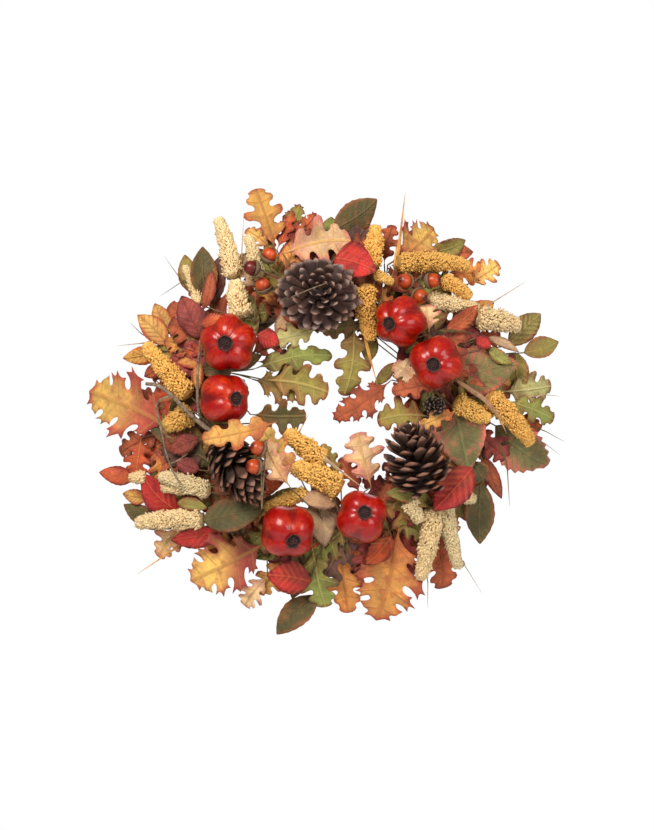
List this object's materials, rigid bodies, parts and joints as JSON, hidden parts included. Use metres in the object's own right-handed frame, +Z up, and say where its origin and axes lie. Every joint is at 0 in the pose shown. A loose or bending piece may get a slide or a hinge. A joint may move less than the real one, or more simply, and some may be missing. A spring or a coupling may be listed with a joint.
{
  "type": "harvest door wreath",
  "caption": "Round hanging wreath on a vine ring, with leaf, seed, acorn, cone and glossy fruit picks on bendable wire stems and a swinging wire hanger at the back.",
  "frame": {"origin": "middle of the hanger loop's bar, behind the top of the ring, where the wreath hangs", "axes": "+Z up as it hangs, +Y towards the door, -Y the decorated front, +X to the right seen from the front"},
  "size_m": [0.6202, 0.1466, 0.5722],
  "materials": {
    "steel_wire": "dull galvanised wire",
    "dried_vine": "rough dry bark",
    "dried_crown": "dry and fibrous",
    "glossy_fruit": "high gloss lacquer with mottled red",
    "pinecone": "natural dry scales",
    "acorn_nut": "waxy sheen",
    "acorn_cap": "rough scaly",
    "golden_seed": "grainy matte",
    "cream_seed": "grainy matte",
    "oak_leaf": "printed leaf fabric, matte",
    "broad_leaf": "printed leaf fabric, slight sheen"
  },
  "bodies": {
    "wreath": {"acorn_caps_left": "acorn_cap", "acorn_nut_7": "acorn_nut", "acorn_nut_8": "acorn_nut", "bare_vine_left": "dried_vine", "binding_wire_1": "steel_wire", "binding_wire_2": "steel_wire", "cream_pick_lower_left": "cream_seed", "cream_pick_right": "cream_seed", "cream_pick_top_left": "cream_seed", "frame_hoop": "steel_wire", "golden_pick_bottom": "golden_seed", "golden_pick_left": "golden_seed", "golden_pick_top": "golden_seed", "golden_pick_top_right": "golden_seed", "hanger_eye": "steel_wire", "magnolia_pick_lower_left": "broad_leaf", "magnolia_pick_lower_right": "broad_leaf", "magnolia_pick_right": "broad_leaf", "magnolia_pick_upper_left": "broad_leaf", "maple_pick_right": "broad_leaf", "oak_pick_bottom": "oak_leaf", "oak_pick_bottom_left": "oak_leaf", "oak_pick_inner_bottom": "oak_leaf", "oak_pick_inner_left": "oak_leaf", "oak_pick_inner_right": "oak_leaf", "oak_pick_left": "oak_leaf", "oak_pick_right": "oak_leaf", "oak_pick_top": "oak_leaf", "oak_pick_top_left": "oak_leaf", "oak_pick_top_right": "oak_leaf", "pinecone_left": "pinecone", "pinecone_right": "pinecone", "pinecone_top": "pinecone", "pomegranate_1": "glossy_fruit", "pomegranate_2": "glossy_fruit", "pomegranate_3": "glossy_fruit", "pomegranate_4": "glossy_fruit", "pomegranate_5": "glossy_fruit", "pomegranate_6": "glossy_fruit", "pomegranate_crown_1": "dried_crown", "pomegranate_crown_2": "dried_crown", "pomegranate_crown_3": "dried_crown", "pomegranate_crown_4": "dried_crown", "pomegranate_crown_5": "dried_crown", "pomegranate_crown_6": "dried_crown", "vine_strand_1": "dried_vine", "vine_strand_2": "dried_vine", "vine_strand_3": "dried_vine", "vine_strand_4": "dried_vine"},
    "hanger_loop": {"hanger_loop": "steel_wire"},
    "acorn_cluster_top_left": {"acorn_caps_top_left": "acorn_cap", "acorn_nut_1": "acorn_nut", "acorn_nut_2": "acorn_nut", "acorn_nut_3": "acorn_nut"},
    "acorn_cluster_top_right": {"acorn_caps_top_right": "acorn_cap", "acorn_nut_4": "acorn_nut", "acorn_nut_5": "acorn_nut", "acorn_nut_6": "acorn_nut"},
    "golden_seed_spray_right": {"golden_pick_right": "golden_seed"},
    "cream_seed_spray_bottom_right": {"cream_pick_bottom_right": "cream_seed"}
  },
  "joints": [
    {"name": "hanger_swing", "type": "hinge", "parent": "wreath", "child": "hanger_loop", "pos_m": [0, 0, 0], "axis": [1, 0, 0], "range_deg": [0, 172]},
    {"name": "acorn_stem_bend_top_left", "type": "hinge", "parent": "wreath", "child": "acorn_cluster_top_left", "pos_m": [-0.046, -0.0752, 0.023], "axis": [0.3011, 0, 0.9536], "range_deg": [0, 25]},
    {"name": "acorn_stem_bend_top_right", "type": "hinge", "parent": "wreath", "child": "acorn_cluster_top_right", "pos_m": [0.126, -0.06833, 0.028], "axis": [-0.9627, 0, 0.2707], "range_deg": [0, 25]},
    {"name": "golden_stem_bend_right", "type": "hinge", "parent": "wreath", "child": "golden_seed_spray_right", "pos_m": [0.164, -0.06467, -0.128], "axis": [-0.4592, 0, -0.8884], "range_deg": [0, 25]},
    {"name": "cream_stem_bend_bottom_right", "type": "hinge", "parent": "wreath", "child": "cream_seed_spray_bottom_right", "pos_m": [0.133, -0.05977, -0.26], "axis": [-0.9853, 0, -0.1709], "range_deg": [0, 25]}
  ]
}
